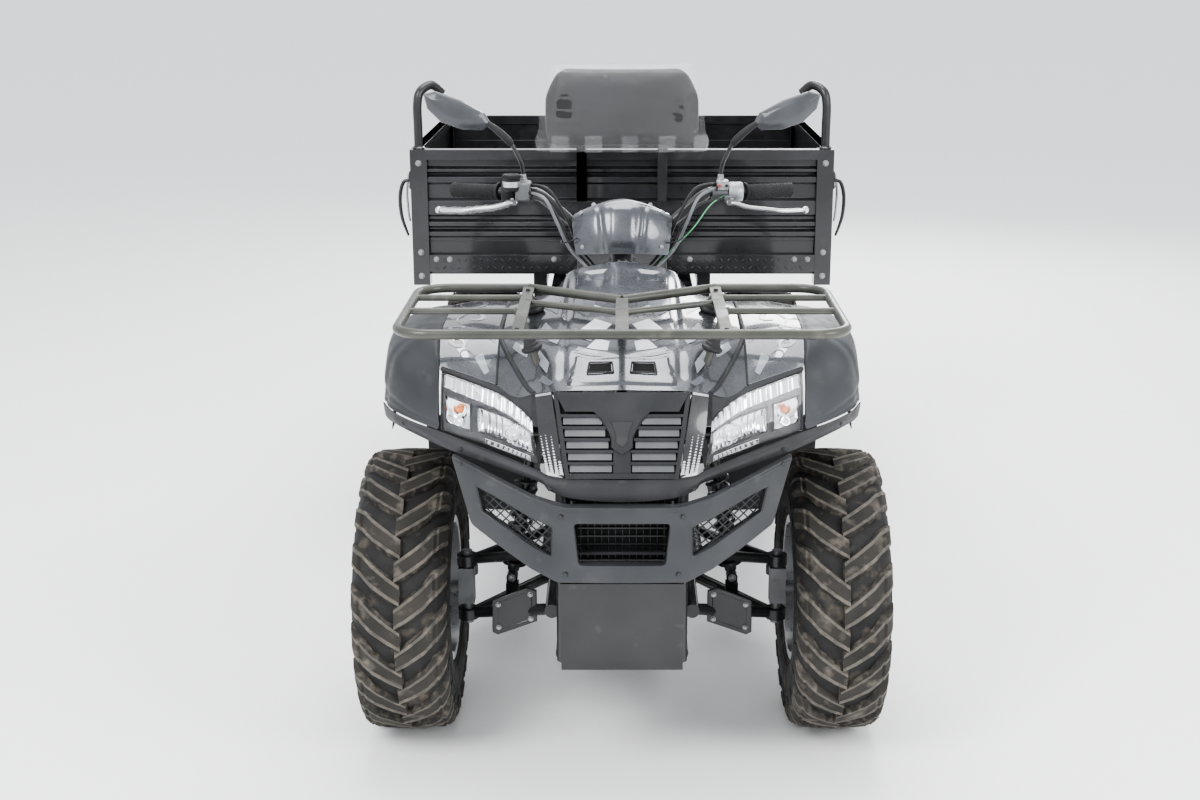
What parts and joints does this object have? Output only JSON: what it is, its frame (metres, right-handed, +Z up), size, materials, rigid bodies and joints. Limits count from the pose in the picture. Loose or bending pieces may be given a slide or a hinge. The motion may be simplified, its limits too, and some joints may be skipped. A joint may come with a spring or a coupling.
{
  "type": "utility quad bike with tipping cargo bed",
  "caption": "Farm quad bike with a front rack, moulded bumper and fenders, handlebar steering, a rider backrest and a tipping steel cargo bed with drop gates.",
  "frame": {"origin": "on the ground under the middle of the overall length, on the centre plane", "axes": "+X is the rider's left, +Z is up, the vehicle faces -Y"},
  "size_m": [1.3456, 2.911, 1.4078],
  "materials": {
    "black_frame": "satin black enamel",
    "engine_alloy": "cast alloy",
    "skid": "scuffed black",
    "bumper_plastic": "moulded gunmetal grey",
    "mesh_metal": "expanded metal",
    "fin_alloy": "dark fins",
    "matte_black": "moulded matte black",
    "gloss_body": "gloss metallic grey with white shard decals",
    "gloss_black": "gloss black",
    "lamp_bowl": "metallised reflector",
    "lamp_lens": "clear lens",
    "rack_tube": "olive black enamel",
    "seat_vinyl": "black vinyl",
    "spring_steel": "black spring steel",
    "dark_steel": "bare steel",
    "grip_rubber": "ribbed rubber",
    "metallic_grey": "metallic grey",
    "control_alloy": "black and silver housings",
    "lever_alloy": "cast lever",
    "cable_black": "black sheath",
    "mirror_shell": "grey shell",
    "tyre": "dusty tread",
    "rim_black": "satin black",
    "bed_paint": "gloss black enamel",
    "pad_vinyl": "black vinyl under clear film",
    "lamp_red": "red lens"
  },
  "bodies": {
    "chassis": {"chassis_frame": "black_frame", "engine_block": "engine_alloy", "skid_plate": "skid", "front_bumper": "bumper_plastic", "bumper_mesh": "mesh_metal", "radiator": "fin_alloy", "front_fascia": "matte_black", "grille": "matte_black", "nose_strips": "gloss_black", "headlight_housings": "lamp_bowl", "headlight_lenses": "lamp_lens", "hood": "gloss_body", "fender_panels": "gloss_body", "fender_flares": "matte_black", "front_rack": "rack_tube", "tank_cover": "gloss_body", "seat": "seat_vinyl", "side_covers": "gloss_body", "footwells": "matte_black", "front_a_arms": "black_frame", "front_shocks": "spring_steel", "rear_axle": "black_frame", "rear_springs": "spring_steel", "exhaust": "dark_steel"},
    "steering": {"steering_column": "black_frame", "handlebar": "black_frame", "grips": "grip_rubber", "handlebar_pod": "metallic_grey", "hand_controls": "control_alloy", "brake_levers": "lever_alloy", "control_cables": "cable_black", "mirrors": "mirror_shell"},
    "bed": {"bed_floor": "bed_paint", "headboard": "bed_paint", "bed_latches": "black_frame", "backrest_pad": "pad_vinyl", "tail_lamps": "lamp_red"},
    "side_gate_left": {"side_gate_left": "bed_paint"},
    "side_gate_right": {"side_gate_right": "bed_paint"},
    "tailgate": {"tailgate": "bed_paint"},
    "knuckle_left": {"knuckle_left": "dark_steel"},
    "knuckle_right": {"knuckle_right": "dark_steel"},
    "tie_rod_left": {"tie_rod_left": "dark_steel"},
    "tie_rod_right": {"tie_rod_right": "dark_steel"},
    "front_wheel_left": {"front_tyre_left": "tyre", "front_rim_left": "rim_black"},
    "front_wheel_right": {"front_tyre_right": "tyre", "front_rim_right": "rim_black"},
    "rear_wheel_left": {"rear_tyre_left": "tyre", "rear_rim_left": "rim_black"},
    "rear_wheel_right": {"rear_tyre_right": "tyre", "rear_rim_right": "rim_black"}
  },
  "joints": [
    {"name": "steering", "type": "hinge", "parent": "chassis", "child": "steering", "pos_m": [0, -0.9805, 0.3], "axis": [0, 0.3746, 0.9272], "range_deg": [-35, 35]},
    {"name": "knuckle_left", "type": "hinge", "parent": "chassis", "child": "knuckle_left", "pos_m": [0.352, -1.0005, 0.3175], "axis": [0, 0, 1], "range_deg": [-36, 36]},
    {"name": "tie_rod_left", "type": "hinge", "parent": "knuckle_left", "child": "tie_rod_left", "pos_m": [0.352, -0.9205, 0.345], "axis": [0, 0, 1], "range_deg": [-36, 36]},
    {"name": "front_wheel_left", "type": "hinge", "parent": "knuckle_left", "child": "front_wheel_left", "pos_m": [0.473, -1.0005, 0.3175], "axis": [1, 0, 0], "continuous": true},
    {"name": "rear_wheel_left", "type": "hinge", "parent": "chassis", "child": "rear_wheel_left", "pos_m": [0.45, 0.7995, 0.3175], "axis": [1, 0, 0], "continuous": true},
    {"name": "side_gate_left", "type": "hinge", "parent": "bed", "child": "side_gate_left", "pos_m": [0.639, 0.8995, 0.871], "axis": [0, 1, 0], "range_deg": [0, 165]},
    {"name": "knuckle_right", "type": "hinge", "parent": "chassis", "child": "knuckle_right", "pos_m": [-0.352, -1.0005, 0.3175], "axis": [0, 0, 1], "range_deg": [-36, 36]},
    {"name": "tie_rod_right", "type": "hinge", "parent": "knuckle_right", "child": "tie_rod_right", "pos_m": [-0.352, -0.9205, 0.345], "axis": [0, 0, 1], "range_deg": [-36, 36]},
    {"name": "front_wheel_right", "type": "hinge", "parent": "knuckle_right", "child": "front_wheel_right", "pos_m": [-0.473, -1.0005, 0.3175], "axis": [1, 0, 0], "continuous": true},
    {"name": "rear_wheel_right", "type": "hinge", "parent": "chassis", "child": "rear_wheel_right", "pos_m": [-0.45, 0.7995, 0.3175], "axis": [1, 0, 0], "continuous": true},
    {"name": "side_gate_right", "type": "hinge", "parent": "bed", "child": "side_gate_right", "pos_m": [-0.639, 0.8995, 0.871], "axis": [0, -1, 0], "range_deg": [0, 165]},
    {"name": "bed_tilt", "type": "hinge", "parent": "chassis", "child": "bed", "pos_m": [0, 1.2195, 0.744], "axis": [-1, 0, 0], "range_deg": [0, 45]},
    {"name": "tailgate", "type": "hinge", "parent": "bed", "child": "tailgate", "pos_m": [0, 1.4475, 0.871], "axis": [-1, 0, 0], "range_deg": [0, 170]}
  ],
  "couplings": [
    {"joint": "knuckle_left", "follows": "steering", "ratio": 1},
    {"joint": "tie_rod_left", "follows": "steering", "ratio": -1},
    {"joint": "knuckle_right", "follows": "steering", "ratio": 1},
    {"joint": "tie_rod_right", "follows": "steering", "ratio": -1}
  ]
}
